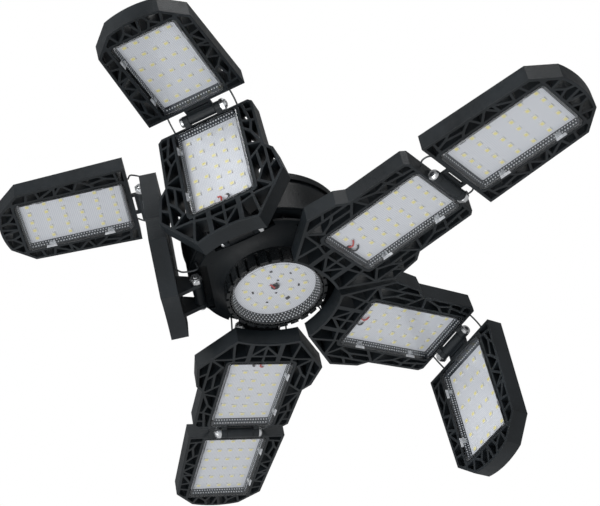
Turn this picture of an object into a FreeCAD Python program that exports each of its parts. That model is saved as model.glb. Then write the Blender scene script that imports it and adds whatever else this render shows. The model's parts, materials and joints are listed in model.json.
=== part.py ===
import FreeCAD, Part

import math
import os

# Deformable garage light: a round hub with a screw base on top, and five arms.
# Each arm is an inner lamp panel hinged to the hub and an outer lamp panel
# hinged to the inner one. The lamps face down (-Z) and the screw base faces up.
# Pieces are drawn with z = 0 at the five hub hinges, and set down at the end so
# that the origin is the screw base's seat, where the lamp holder meets the neck.

doc = FreeCAD.newDocument("garage_light")
sheet = doc.addObject("Spreadsheet::Sheet", "Sizes")

SIZES = [
    # hub, from the lamp face up to the screw base
    ("arm_count", 5),
    ("hinge_radius", 52.3),
    ("vent_radius", 35.2),
    ("vent_wall", 2.4),
    ("vent_low", -16.2),
    ("vent_top", -4.0),
    ("vent_slots", 27),
    ("slot_width", 2.3),
    ("slot_height", 10.4),
    ("slot_depth", 1.7),
    ("flare_radius", "=hinge_radius + 0.7"),
    ("flare_top", 3.0),
    ("flare_wall", 2.2),
    ("disc_radius", "=hinge_radius + 3.7"),
    ("disc_low", 10.0),
    ("disc_wall", 2.4),
    ("rim_lap", 0.6),
    ("drum_radius", "=disc_radius + 1.0"),
    ("drum_wall", 2.2),
    ("drum_height", 28.0),
    ("cover_radius", "=drum_radius + 1.6"),
    ("cover_height", 8.0),
    ("cover_wall", 2.4),
    ("cover_rise", 11.0),
    ("neck_radius", 16.5),
    ("neck_height", 12.0),
    ("neck_plug", 8.0),
    ("wire_bore", 6.0),
    ("shell_radius", 13.1),
    ("shell_wall", 0.7),
    ("thread_depth", 0.9),
    ("shell_height", 20.6),
    ("tip_radius", 4.8),
    ("tip_height", 2.4),
    ("insulator_height", 4.5),
    # round lamp in the middle of the hub
    ("round_lens_radius", 32.6),
    ("round_lens_skin", 1.3),
    ("round_lens_depth", 8.7),
    ("round_board_radius", 29.4),
    ("led_side", 2.8),
    ("led_height", 0.7),
    ("outer_led_ring", 21.0),
    ("inner_led_ring", 11.3),
    ("outer_led_count", 16),
    ("inner_led_count", 8),
    ("cable_hole", 3.0),
    # driver in the drum, and the screws that hold it and the drum to the disc
    ("driver_lift", 5.0),
    ("driver_thickness", 1.6),
    ("driver_gap", 1.2),
    ("spacer_radius", 3.0),
    ("can_radius", 6.0),
    ("can_height", 12.0),
    ("coil_side", 16.0),
    ("screw_circle", "=hinge_radius - 6.3"),
    ("screw_radius", 1.4),
    ("screw_length", 5.0),
    ("screw_head", 1.8),
    # hub hinge
    ("hub_knuckle_radius", 4.0),
    ("hub_knuckle_length", 18.0),
    ("knuckle_web", 3.4),
    ("ear_thickness", 3.4),
    ("hinge_gap", 0.3),
    ("notch_half", 22.5),
    ("notch_depth", 9.0),
    ("bolt_radius", 1.9),
    ("bolt_clearance", 0.05),
    ("nut_flats", 7.0),
    ("nut_height", 3.2),
    ("head_radius", 3.6),
    ("head_height", 2.4),
    # lamp panels
    ("panel_face", -26.25),
    ("face_step", 0.8),
    ("panel_depth", 12.3),
    ("wall", 2.0),
    ("rib", 1.8),
    ("smallest_hole", 3.0),
    ("lens_length", 80.5),
    ("lens_width", 48.0),
    ("lens_corner", 4.0),
    ("lens_skin", 1.1),
    ("lens_skirt", 1.5),
    ("lens_depth", 6.8),
    ("lens_fit", 0.25),
    ("tray_wall", 1.9),
    ("tray_floor", 1.8),
    ("board_thickness", 1.2),
    ("fin_count", 5),
    ("fin_thickness", 1.5),
    # inner panel, measured from the hub hinge
    ("inner_lens_start", 9.1),
    ("hub_edge_start", -13.5),
    ("hub_corner_start", -17.5),
    ("hub_corner_half", 22.5),
    ("shoulder_start", 15.0),
    ("shoulder_half", 46.3),
    ("shoulder_end", 37.0),
    ("shoulder_end_half", 43.0),
    ("waist_start", 43.5),
    ("waist_half", 37.6),
    ("inner_end", "=inner_lens_start + lens_length + 1.6"),
    ("inner_end_half", 36.6),
    ("end_bevel", 3.0),
    # elbow between the two panels
    ("elbow_reach", "=inner_end + 4.6"),
    ("elbow_level", -26.94),
    ("elbow_radius", 3.8),
    ("elbow_half", 10.0),
    ("lug_thickness", 4.2),
    ("web_thickness", 2.4),
    ("slit_width", 1.6),
    # outer panel, measured from the elbow
    ("outer_start", 8.0),
    ("outer_start_half", 37.4),
    ("outer_lens_start", 11.0),
    ("outer_shoulder", "=outer_lens_start + lens_length - 3.5"),
    ("outer_shoulder_half", 34.0),
    ("outer_tip_corner", "=outer_lens_start + lens_length + 12.0"),
    ("outer_tip_half", 19.0),
    ("outer_tip", "=outer_lens_start + lens_length + 15.0"),
    # leads
    ("lead_radius", 0.55),
    ("lead_sides", 8),
    ("lead_gap", 0.5),
    ("elbow_lead_half", 21.0),
    ("elbow_lead_bow", 3.2),
    ("hub_lead_half", 20.0),
    ("hub_lead_start", "=hinge_radius - 2.3"),
]

for row, (alias, value) in enumerate(SIZES, start=1):
    sheet.set("A%d" % row, alias)
    sheet.set("B%d" % row, str(value))
    sheet.setAlias("B%d" % row, alias)
doc.recompute()


def size(alias):
    return float(sheet.get(alias))


V = FreeCAD.Vector
Z_AXIS = V(0, 0, 1)
Y_AXIS = V(0, 1, 0)

# How each arm stands: its direction round the hub, how far its inner panel
# is turned down at the hub, and how far its outer panel is turned at the elbow.
ARMS = {
    "arm_1": (0.0, -90.0, 97.0),
    "arm_2": (72.0, 2.0, 1.0),
    "arm_3": (144.0, -3.0, 95.0),
    "arm_4": (216.0, -4.0, 1.0),
    "arm_5": (288.0, -90.0, 91.0),
}


# ---------------------------------------------------------------- outlines
def inner_outline():
    """Closed outline of the inner panel: a concave edge round the hub, two
    shoulders, a waist and a bevelled end at the elbow."""
    bevel = size("end_bevel")
    side = [
        V(size("hub_corner_start"), size("hub_corner_half"), 0),
        V(size("shoulder_start"), size("shoulder_half"), 0),
        V(size("shoulder_end"), size("shoulder_end_half"), 0),
        V(size("waist_start"), size("waist_half"), 0),
        V(size("inner_end") - bevel, size("inner_end_half"), 0),
        V(size("inner_end"), size("inner_end_half") - bevel, 0),
    ]
    other = [V(p.x, -p.y, 0) for p in reversed(side)]
    points = side + other
    edges = [Part.LineSegment(a, b).toShape() for a, b in zip(points, points[1:])]
    middle = V(size("hub_edge_start"), 0, 0)
    edges.append(Part.Arc(other[-1], middle, side[0]).toShape())
    return Part.Wire(edges)


def outer_outline():
    """Closed outline of the outer panel: a straight edge at the elbow, two
    slightly converging sides, sloping shoulders and a bowed tip."""
    side = [
        V(size("outer_start"), size("outer_start_half"), 0),
        V(size("outer_shoulder"), size("outer_shoulder_half"), 0),
        V(size("outer_tip_corner"), size("outer_tip_half"), 0),
    ]
    other = [V(p.x, -p.y, 0) for p in reversed(side)]
    edges = [Part.LineSegment(a, b).toShape() for a, b in zip(side, side[1:])]
    edges.append(Part.Arc(side[-1], V(size("outer_tip"), 0, 0), other[0]).toShape())
    edges += [Part.LineSegment(a, b).toShape() for a, b in zip(other, other[1:])]
    edges.append(Part.LineSegment(other[-1], side[0]).toShape())
    return Part.Wire(edges)


def rounded_rectangle(start, length, half, corner):
    """Rectangle from x = start, centred on y = 0, with round corners."""
    end = start + length
    corners = [V(start, -half, 0), V(end, -half, 0), V(end, half, 0), V(start, half, 0)]
    if corner <= 0:
        return Part.makePolygon(corners + corners[:1])
    edges = []
    for here in range(4):
        point = corners[here]
        before = (corners[here - 1] - point).normalize()
        after = (corners[(here + 1) % 4] - point).normalize()
        first = point + before * corner
        last = point + after * corner
        middle = point + (before + after) * corner * (1 - math.sqrt(0.5))
        edges.append(Part.Arc(first, middle, last).toShape())
        following = corners[(here + 1) % 4] - after * corner
        edges.append(Part.LineSegment(last, following).toShape())
    return Part.Wire(edges)


def inset(wire, distance):
    """The same outline, moved inwards."""
    return Part.Face(wire).makeOffset2D(-distance, 2).Wires[0]


# ----------------------------------------------------------------- lattice
# The ribs run like cracks between the outer wall and the lens's tray. Each
# path is one crack, given by its corners on the panel's +y half in millimetres
# from the hub hinge or the elbow, and the other half is its mirror image.
INNER_CRACKS = [
    [(0.8, 0), (0.8, 11)],
    [(-9, 1), (0.8, 10)],
    [(0.8, 11), (4.5, 24), (5, 37)],
    [(-17, 24.5), (8, 21)],
    [(5.5, 36.5), (14, 27.5)],
    [(4, 37.3), (44, 37.3)],
    [(21, 37.3), (27, 45)],
    [(13.5, 28), (22.5, 31.8), (39.5, 31)],
    [(22.5, 31.8), (29, 37.3)],
    [(36, 26), (46, 37.5)],
    [(50, 26), (46, 37.5)],
    [(49, 35), (61, 30.5), (70.5, 32.5), (69, 38)],
    [(61, 30.5), (66, 26)],
    [(70.5, 32.5), (73.5, 26)],
    [(71, 31.6), (90, 28.5)],
    [(81, 37), (82, 29.5)],
]
OUTER_CRACKS = [
    [(16, 36.5), (14.5, 26)],
    [(15, 29.5), (22.5, 31.8), (35, 29.4), (43, 35)],
    [(22.5, 31.8), (29, 36.5)],
    [(35, 29.4), (32.5, 26)],
    [(47, 26), (43, 35)],
    [(47, 26), (55, 34.5)],
    [(55, 34.5), (61, 26), (60, 35)],
    [(60, 33.5), (72, 26)],
    [(72, 26), (74, 34.5)],
    [(82, 26), (80, 34)],
    [(92.5, 25), (92, 33)],
    [(92, 24.5), (98, 25.5)],
    [(93, 16), (101.5, 18.5)],
    [(93, 15.5), (99, 9), (104.5, 7.5)],
    [(93, 6), (99, 9)],
    [(93, 0), (105.5, 3)],
]


def mirrored(points):
    return [(x, -y) for x, y in points]


def bar(start, end, width):
    """A straight rib from start to end, a little longer at both ends."""
    start = V(start[0], start[1], 0)
    end = V(end[0], end[1], 0)
    along = (end - start).normalize() * width / 2
    across = V(-along.y, along.x, 0)
    corners = [start - along - across, end + along - across, end + along + across,
               start - along + across]
    return Part.Face(Part.makePolygon(corners + corners[:1]))


def lattice_holes(outline, tray, cracks, spine):
    """Outlines of the holes that the ribs leave between wall and tray."""
    field = Part.Face(inset(outline, size("wall"))).cut(Part.Face(tray))
    ribs = [bar(a, b, width) for a, b, width in spine]
    for path in cracks + [mirrored(path) for path in cracks]:
        ribs += [bar(a, b, size("rib")) for a, b in zip(path, path[1:])]
    holes = field.cut(ribs)
    return [face.OuterWire for face in holes.Faces if face.Area > size("smallest_hole")]


# --------------------------------------------------------- feature helpers
def origin_plane(body, role):
    return [f for f in body.Origin.OriginFeatures if f.Role == role][0]


def sketch_on(body, name, wires, level=None, role="XY_Plane"):
    """A sketch on one of the body's origin planes, at a level from the sheet."""
    sketch = body.newObject("Sketcher::SketchObject", name)
    sketch.AttachmentSupport = [(origin_plane(body, role), "")]
    sketch.MapMode = "FlatFace"
    if level is not None:
        sketch.setExpression("AttachmentOffset.Base.z", level)
    for wire in wires:
        for edge in wire.Edges:
            first, last = edge.ParameterRange
            if isinstance(edge.Curve, Part.Line):
                ends = [vertex.Point for vertex in edge.Vertexes]
                sketch.addGeometry(Part.LineSegment(ends[0], ends[-1]), False)
            elif len(edge.Vertexes) == 1:
                sketch.addGeometry(Part.Circle(edge.Curve.Center, edge.Curve.Axis, edge.Curve.Radius), False)
            else:
                sketch.addGeometry(Part.ArcOfCircle(edge.Curve, first, last), False)
    return sketch


def pad(body, name, wires, level, length, role="XY_Plane", midplane=False):
    feature = body.newObject("PartDesign::Pad", name)
    feature.Profile = sketch_on(body, name + "Sketch", wires, level, role)
    feature.setExpression("Length", length)
    feature.Midplane = midplane
    return feature


def pocket(body, name, wires, level, length, role="XY_Plane", midplane=False):
    """A pocket from its sketch downwards, or both ways where midplane is set."""
    feature = body.newObject("PartDesign::Pocket", name)
    feature.Profile = sketch_on(body, name + "Sketch", wires, level, role)
    feature.setExpression("Length", length)
    feature.Midplane = midplane
    return feature


def profile(points):
    """Closed profile of straight runs through (radius, height) points."""
    corners = [V(radius, height, 0) for radius, height in points]
    return Part.makePolygon(corners + corners[:1])


def revolved(name, wire):
    """A body turned about the lamp's axis."""
    body = doc.addObject("PartDesign::Body", name)
    feature = body.newObject("PartDesign::Revolution", name + "Turn")
    feature.Profile = sketch_on(body, name + "Profile", [wire], None, "XZ_Plane")
    feature.ReferenceAxis = (feature.Profile[0], ["V_Axis"])
    feature.Angle = 360.0
    return body


def circle(x, y, radius):
    return Part.Wire([Part.Circle(V(x, y, 0), Z_AXIS, radius).toShape()])


def hexagon(x, y, flats):
    reach = flats / math.sqrt(3)
    corners = [V(x + reach * math.cos(math.radians(60 * i + 30)),
                 y + reach * math.sin(math.radians(60 * i + 30)), 0) for i in range(7)]
    return Part.makePolygon(corners)


# ------------------------------------------------------------ lamp panels
def panel_levels(face):
    """Heights that both panels share, worked out from the lens face."""
    return {
        "face": face,
        "front": "%s + Sizes.face_step" % face,
        "seat": "%s + Sizes.lens_depth" % face,
        "back": "%s + Sizes.face_step + Sizes.panel_depth" % face,
    }


def frame_body(name, outline, tray_end, lens_start, cracks, spine, levels):
    """Moulded frame: a deep wall and lattice round a tray for the lens and its
    board. The tray's back is hollow, with cooling fins across it."""
    body = doc.addObject("PartDesign::Body", name)
    fit = size("lens_fit")
    wall = size("tray_wall")
    half = size("lens_width") / 2
    corner = size("lens_corner")
    near = lens_start - fit
    far = lens_start + size("lens_length") + fit
    tray = rounded_rectangle(near - wall, tray_end - near + wall, half + fit + wall, corner)
    pad(body, name + "Block", [outline], levels["front"], "Sizes.panel_depth")
    pocket(body, name + "Lattice", lattice_holes(outline, tray, cracks, spine), levels["back"],
           "Sizes.panel_depth")
    window = rounded_rectangle(near, far - near, half + fit, corner + fit)
    pocket(body, name + "Window", [window], levels["seat"], "Sizes.lens_depth")
    cavity = rounded_rectangle(near + wall, far - near - 2 * wall, half - wall, 0)
    pocket(body, name + "Cavity", [cavity], levels["back"],
           "Sizes.panel_depth + Sizes.face_step - Sizes.lens_depth - Sizes.tray_floor")
    fins = []
    fin_pitch = (far - near - 2 * wall) / (size("fin_count") + 1)
    for place in range(int(size("fin_count"))):
        x = near + wall + fin_pitch * (place + 1) - size("fin_thickness") / 2
        fins.append(rounded_rectangle(x, size("fin_thickness"), half - wall / 2, 0))
    pad(body, name + "Fins", fins, levels["seat"] + " + Sizes.tray_floor / 2",
        "Sizes.panel_depth + Sizes.face_step - Sizes.lens_depth - Sizes.tray_floor")
    doc.recompute()
    return body


def leaf_pair(body, name, profile, inner_face, thickness):
    """Two equal leaves, one each side of the arm's middle plane."""
    for side, word in ((1, "Left"), (-1, "Right")):
        feature = body.newObject("PartDesign::Pad", name + word)
        sketch = sketch_on(body, name + word + "Sketch", profile, None, "XZ_Plane")
        sketch.setExpression("AttachmentOffset.Base.z", "%d * (%s)" % (-side, inner_face))
        feature.Profile = sketch
        feature.setExpression("Length", thickness)
        feature.Reversed = side > 0


inner_levels = panel_levels("Sizes.panel_face")
outer_levels = panel_levels("(Sizes.panel_face - Sizes.elbow_level + 0.25)")


def disc_and_arm(radius, x, z, points):
    """Outline of a leaf: a round head at (x, z) run into a straight-sided arm."""
    turning = sum(a[0] * b[1] - b[0] * a[1] for a, b in zip(points, points[1:] + points[:1]))
    if turning < 0:
        points = points[::-1]
    head = Part.Face(circle(x, z, radius))
    arm = Part.Face(Part.makePolygon([V(a, b, 0) for a, b in points + points[:1]]))
    return head.fuse(arm).removeSplitter().Faces[0].OuterWire


# Inner frame with two ears for the hub hinge and two lugs for the elbow. Each
# ear stands on a rib of its own thickness.
ear_middle = size("hub_knuckle_length") / 2 + size("hinge_gap") + size("ear_thickness") / 2
inner_spine = [((size("hub_edge_start"), 0), (size("inner_lens_start"), 0), size("rib"))]
for ear_y in (ear_middle, -ear_middle):
    inner_spine.append(((size("hub_corner_start"), ear_y), (size("inner_lens_start"), ear_y),
                        size("ear_thickness")))
inner_frame = frame_body("InnerFrame", inner_outline(), size("inner_end") - size("wall") / 2,
                         size("inner_lens_start"), INNER_CRACKS, inner_spine, inner_levels)
ear_radius = size("hub_knuckle_radius")
back_level = size("panel_face") + size("face_step") + size("panel_depth")
ear_points = [(-ear_radius, 0), (size("hub_edge_start") + 5.0, back_level - 1.0),
              (size("inner_lens_start"), back_level - 1.0), (ear_radius, 0)]
ear = disc_and_arm(ear_radius, 0, 0, ear_points)
leaf_pair(inner_frame, "Ear", [ear], "Sizes.hub_knuckle_length / 2 + Sizes.hinge_gap",
          "Sizes.ear_thickness")
lug_radius = size("elbow_radius")
elbow_x = size("elbow_reach")
elbow_z = size("elbow_level")
lug_root = size("inner_end") - 1.0
lug_points = [(elbow_x, elbow_z - lug_radius), (lug_root, elbow_z + 1.6),
              (lug_root, elbow_z + 9.0), (size("inner_end"), elbow_z + 9.0),
              (elbow_x, elbow_z + lug_radius)]
lug = disc_and_arm(lug_radius, elbow_x, elbow_z, lug_points)
leaf_pair(inner_frame, "Lug", [lug], "Sizes.elbow_half + Sizes.hinge_gap", "Sizes.lug_thickness")
bore = size("bolt_radius") + size("bolt_clearance")
pocket(inner_frame, "HubBore", [circle(0, 0, bore)], None,
       "4 * Sizes.hub_knuckle_length", "XZ_Plane", True)
pocket(inner_frame, "ElbowBore", [circle(elbow_x, elbow_z, bore)], None,
       "8 * Sizes.elbow_half", "XZ_Plane", True)

# Outer frame with the long middle knuckle and its slit web plate.
outer_tray_end = size("outer_lens_start") + size("lens_length") + size("lens_fit") + size("tray_wall")
outer_frame = frame_body("OuterFrame", outer_outline(), outer_tray_end, size("outer_lens_start"),
                         OUTER_CRACKS, [], outer_levels)
web_low = size("panel_face") - size("elbow_level") + 0.25 + size("face_step")
web_points = [(0, web_low - 0.4), (size("outer_start") + 0.6, web_low - 0.4),
              (size("outer_start") + 0.6, web_low - 0.4 + size("web_thickness")),
              (0, web_low - 0.4 + size("web_thickness"))]
knuckle = disc_and_arm(lug_radius, 0, 0, web_points)
pad(outer_frame, "Knuckle", [knuckle], None, "2 * Sizes.elbow_half", "XZ_Plane", True)
slit = rounded_rectangle(size("outer_start") - 2.2, size("slit_width"), size("elbow_half") - 2.0, 0)
pocket(outer_frame, "Slit", [slit], None, "8 * Sizes.web_thickness", "XY_Plane", True)
pocket(outer_frame, "KnuckleBore", [circle(0, 0, bore)], None, "8 * Sizes.elbow_half",
       "XZ_Plane", True)


def lens_body(name, start, levels):
    """Clear cover: a flat skin with a skirt that stands on the tray's floor."""
    body = doc.addObject("PartDesign::Body", name)
    half = size("lens_width") / 2
    skirt = size("lens_skirt")
    outline = rounded_rectangle(start, size("lens_length"), half, size("lens_corner"))
    hollow = rounded_rectangle(start + skirt, size("lens_length") - 2 * skirt, half - skirt,
                               size("lens_corner") - skirt)
    pad(body, name + "Cover", [outline], levels["face"], "Sizes.lens_depth")
    pocket(body, name + "Hollow", [hollow], levels["seat"], "Sizes.lens_depth - Sizes.lens_skin")
    return body


def board_body(name, start, levels):
    """Lamp board: a thin plate inside the lens's skirt, on the tray's floor."""
    body = doc.addObject("PartDesign::Body", name)
    edge = size("lens_skirt") + size("lens_fit")
    outline = rounded_rectangle(start + edge, size("lens_length") - 2 * edge,
                                size("lens_width") / 2 - edge, size("lens_corner") - edge)
    pad(body, name + "Plate", [outline], levels["seat"] + " - Sizes.board_thickness",
        "Sizes.board_thickness")
    return body


inner_lens = lens_body("InnerLens", size("inner_lens_start"), inner_levels)
inner_board = board_body("InnerBoard", size("inner_lens_start"), inner_levels)
outer_lens = lens_body("OuterLens", size("outer_lens_start"), outer_levels)
outer_board = board_body("OuterBoard", size("outer_lens_start"), outer_levels)


def bolt_body(name, x, z, grip):
    """A bolt across a hinge, with a round head at one end and a nut at the other."""
    body = doc.addObject("PartDesign::Body", name)
    span = size("head_height") + size("nut_height") + 2 * grip
    shank = circle(x, z, size("bolt_radius"))
    pad(body, name + "Shank", [shank], None, "%f" % span, "XZ_Plane", True)
    for word, wires, side, length in (
            ("Head", [circle(x, z, size("head_radius"))], 1, "Sizes.head_height"),
            ("Nut", [hexagon(x, z, size("nut_flats"))], -1, "Sizes.nut_height")):
        feature = body.newObject("PartDesign::Pad", name + word)
        sketch = sketch_on(body, name + word + "Sketch", wires, None, "XZ_Plane")
        sketch.AttachmentOffset.Base = V(0, 0, 0)
        sketch.AttachmentOffset = FreeCAD.Placement(V(0, 0, -side * grip), FreeCAD.Rotation())
        feature.Profile = sketch
        feature.setExpression("Length", length)
        feature.Reversed = side > 0
    return body


elbow_grip = size("elbow_half") + size("hinge_gap") + size("lug_thickness") + 0.05
elbow_bolt = bolt_body("ElbowBolt", elbow_x, elbow_z, elbow_grip)
hub_grip = size("hub_knuckle_length") / 2 + size("hinge_gap") + size("ear_thickness") + 0.1
hub_bolt = bolt_body("HubBolt", 0, 0, hub_grip)
doc.recompute()


# --------------------------------------------------------------------- hub
def hub_station(angle):
    """Where an arm's hinge stands on the hub, with x outwards."""
    turn = FreeCAD.Rotation(Z_AXIS, angle)
    return FreeCAD.Placement(turn.multVec(V(size("hinge_radius"), 0, 0)), turn)


def polar_copies(body, feature, count, name):
    """Repeats a feature round the lamp's axis."""
    doc.recompute()
    pattern = body.newObject("PartDesign::PolarPattern", name)
    pattern.Originals = [feature]
    pattern.Axis = (origin_axis(body), [""])
    pattern.Angle = 360.0
    pattern.setExpression("Occurrences", count)
    body.Tip = pattern
    return pattern


def origin_axis(body):
    return [f for f in body.Origin.OriginFeatures if f.Role == "Z_Axis"][0]


# Hinge hub: a flared skirt over a short tube, under the disc that closes the
# drum. The skirt is notched at each arm, where a barrel hangs from the disc.
vent_r = size("vent_radius")
flare_r = size("flare_radius")
flare_z = size("flare_top")
low = size("vent_top")
disc_z = size("disc_low")
disc_r = size("disc_radius")
disc_top = disc_z + size("disc_wall")
lap = size("rim_lap")
tube_in = vent_r - size("vent_wall")
disc_in = tube_in - 8.0
flare_high = flare_z + size("flare_wall")
flare_middle = V((2 * vent_r + flare_r) / 3, flare_z - size("flare_wall"), 0)
hub_path = [(flare_r, flare_z), (flare_r, flare_high), (vent_r, flare_high), (vent_r, disc_z),
            (disc_r, disc_z), (disc_r, disc_top), (disc_in, disc_top), (disc_in, disc_z),
            (tube_in, disc_z), (tube_in, low), (vent_r, low)]
hub_corners = [V(radius, height, 0) for radius, height in hub_path]
hub_edges = [Part.LineSegment(a, b).toShape() for a, b in zip(hub_corners, hub_corners[1:])]
hub_edges.append(Part.Arc(hub_corners[-1], flare_middle, hub_corners[0]).toShape())
hinge_hub = revolved("HingeHub", Part.Wire(hub_edges))
station_x = size("hinge_radius")
notch = rounded_rectangle(station_x - size("notch_depth"), flare_r, size("notch_half"), 0)
notch_cut = pocket(hinge_hub, "Notch", [notch], "Sizes.disc_low", "Sizes.disc_low - Sizes.vent_top")
polar_copies(hinge_hub, notch_cut, "Sizes.arm_count", "Notches")
knuckle_r = size("hub_knuckle_radius")
barrel = disc_and_arm(knuckle_r, station_x, 0, [
    (station_x - knuckle_r, 0), (station_x - knuckle_r, disc_z + lap),
    (station_x - knuckle_r + size("knuckle_web"), disc_z + lap), (station_x + knuckle_r, 0)])
hub_knuckle = pad(hinge_hub, "HubKnuckle", [barrel], None, "Sizes.hub_knuckle_length", "XZ_Plane", True)
polar_copies(hinge_hub, hub_knuckle, "Sizes.arm_count", "HubKnuckles")
station_bore = pocket(hinge_hub, "StationBore", [circle(station_x, 0, bore)], None,
                      "2 * Sizes.hub_knuckle_length", "XZ_Plane", True)
polar_copies(hinge_hub, station_bore, "Sizes.arm_count", "StationBores")

# Vented ring: the short tube round the middle lamp. Its slots are open at the
# bottom and leave a row of teeth, and a floor across it carries the lamp.
vent_low = size("vent_low")
ledge = vent_low + size("round_lens_depth")
cable_r = size("cable_hole")
vent_ring = revolved("VentRing", profile([
    (tube_in, vent_low), (vent_r, vent_low), (vent_r, low), (cable_r, low), (cable_r, ledge),
    (tube_in, ledge)]))
slot_half = size("slot_width") / 2
slot_high = vent_low + size("slot_height")
slot = profile([(-slot_half, vent_low - lap), (slot_half, vent_low - lap), (slot_half, slot_high),
                (-slot_half, slot_high)])
slot_cut = vent_ring.newObject("PartDesign::Pocket", "Slot")
slot_sketch = sketch_on(vent_ring, "SlotSketch", [slot], None, "XZ_Plane")
slot_sketch.setExpression("AttachmentOffset.Base.z", "Sizes.vent_radius + Sizes.slot_width")
slot_cut.Profile = slot_sketch
slot_cut.setExpression("Length", "Sizes.slot_width + Sizes.slot_depth")
polar_copies(vent_ring, slot_cut, "Sizes.vent_slots", "Slots")

# Round lens, board and lamps in the middle.
lens_r = size("round_lens_radius")
lens_in = lens_r - size("lens_skirt")
lens_high = vent_low + size("round_lens_skin")
round_lens = revolved("RoundLens", profile([
    (0, vent_low), (lens_r - size("lens_skirt"), vent_low), (lens_r, lens_high), (lens_r, ledge),
    (lens_in, ledge), (lens_in, lens_high), (0, lens_high)]))
board_r = size("round_board_radius")
board_low = ledge - size("board_thickness")
round_board = revolved("RoundBoard", profile([
    (cable_r, board_low), (board_r, board_low), (board_r, ledge), (cable_r, ledge)]))
led_group = []
led_half = size("led_side") / 2
for ring, count in (("outer_led_ring", "outer_led_count"), ("inner_led_ring", "inner_led_count")):
    for place in range(int(size(count))):
        led = doc.addObject("Part::Box", "RoundLed")
        led.setExpression("Length", "Sizes.led_side")
        led.setExpression("Width", "Sizes.led_side")
        led.setExpression("Height", "Sizes.led_height")
        turn = FreeCAD.Rotation(Z_AXIS, 360.0 * place / size(count))
        corner = V(size(ring) - led_half, -led_half, board_low - size("led_height"))
        led.Placement = FreeCAD.Placement(turn.multVec(corner), turn)
        led_group.append(led)
round_leds = doc.addObject("Part::Compound", "RoundLeds")
round_leds.Links = led_group

# Drum over the hub disc, its cover, the neck and the screw base.
drum_r = size("drum_radius")
drum_in = drum_r - size("drum_wall")
drum_top = disc_z + size("drum_height")
disc_seat = disc_r + size("bolt_clearance")
drum = revolved("Drum", profile([
    (disc_seat, disc_z + lap), (drum_r + lap, disc_z + lap), (drum_r + lap, drum_top - 4.0),
    (drum_r, drum_top), (drum_in, drum_top), (drum_in, disc_top), (disc_seat, disc_top)]))
cover_r = size("cover_radius")
cover_wall = size("cover_wall")
cover_top = drum_top + size("cover_height")
crown = cover_top + size("cover_rise")
neck_r = size("neck_radius")
dome_r = (cover_r + neck_r) / 2
wire_r = size("wire_bore")
cover = revolved("Cover", profile([
    (drum_in, drum_top), (cover_r, drum_top), (cover_r, cover_top - cover_wall),
    (cover_r - cover_wall, cover_top), (dome_r, cover_top + size("cover_rise") / 3),
    (neck_r + cover_wall, crown), (wire_r, crown), (wire_r, crown - cover_wall),
    (neck_r, crown - cover_wall), (cover_r - 2 * cover_wall, cover_top - cover_wall),
    (cover_r - 2 * cover_wall, drum_top + cover_wall), (drum_in, drum_top + cover_wall)]))
neck_top = crown + size("neck_height")
plug_top = neck_top + size("neck_plug")
shell_r = size("shell_radius")
shell_in = shell_r - size("thread_depth") - size("shell_wall")
plug_r = shell_in - size("bolt_clearance")
neck = revolved("Neck", profile([
    (wire_r, crown), (neck_r, crown), (neck_r, neck_top - cover_wall), (shell_r, neck_top),
    (plug_r, neck_top), (plug_r, plug_top), (wire_r, plug_top)]))
shell_top = neck_top + size("shell_height")
shell_crimp = shell_r - 2 * size("thread_depth") - size("shell_wall")
screw_shell = revolved("ScrewShell", profile([
    (shell_in, neck_top), (shell_r, neck_top), (shell_r, shell_top - size("thread_depth")),
    (shell_crimp, shell_top), (shell_crimp - size("shell_wall"), shell_top),
    (shell_in, shell_top - 2 * size("thread_depth"))]))
insulator_top = shell_top + size("insulator_height")
tip_r = size("tip_radius")
stem_r = tip_r - size("tip_height")
insulator = revolved("Insulator", profile([
    (stem_r, shell_top), (shell_crimp - size("shell_wall"), shell_top), (tip_r, insulator_top),
    (stem_r, insulator_top)]))
tip = revolved("Tip", profile([
    (0, shell_top), (stem_r, shell_top), (stem_r, insulator_top), (tip_r, insulator_top),
    (stem_r, insulator_top + size("tip_height")), (0, insulator_top + size("tip_height"))]))

# Driver board across the drum, and the screws that hold it and the drum to the
# disc through five spacers.
driver_r = drum_in - size("driver_gap")
driver_z = disc_top + size("driver_lift")
driver_top = driver_z + size("driver_thickness")
driver = revolved("Driver", profile([
    (wire_r, driver_z), (driver_r, driver_z), (driver_r, driver_top), (wire_r, driver_top)]))
screw_places = []
for place in range(int(size("arm_count"))):
    angle = 2 * math.pi * (place + 0.5) / size("arm_count")
    screw_places.append((size("screw_circle") * math.cos(angle), size("screw_circle") * math.sin(angle)))
screw_bore = size("screw_radius") + size("bolt_clearance")
screw_holes = [circle(x, y, screw_bore) for x, y in screw_places]
spacers = [circle(x, y, size("spacer_radius")) for x, y in screw_places] + screw_holes
pad(driver, "Spacers", spacers, "Sizes.disc_low + Sizes.disc_wall", "Sizes.driver_lift")
pocket(hinge_hub, "ScrewHoles", screw_holes, "Sizes.disc_low + Sizes.disc_wall", "Sizes.disc_wall")
cans = [circle(driver_r / 3, driver_r / 6, size("can_radius")),
        circle(-driver_r / 4, driver_r / 2, size("can_radius"))]
driver_level = "Sizes.disc_low + Sizes.disc_wall + Sizes.driver_lift + Sizes.driver_thickness"
pad(driver, "Cans", cans, driver_level, "Sizes.can_height")
coil = rounded_rectangle(-driver_r / 2, size("coil_side"), size("coil_side") / 2, 0)
pad(driver, "Coil", [coil], driver_level, "Sizes.coil_side / 2")
screw_list = []
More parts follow.
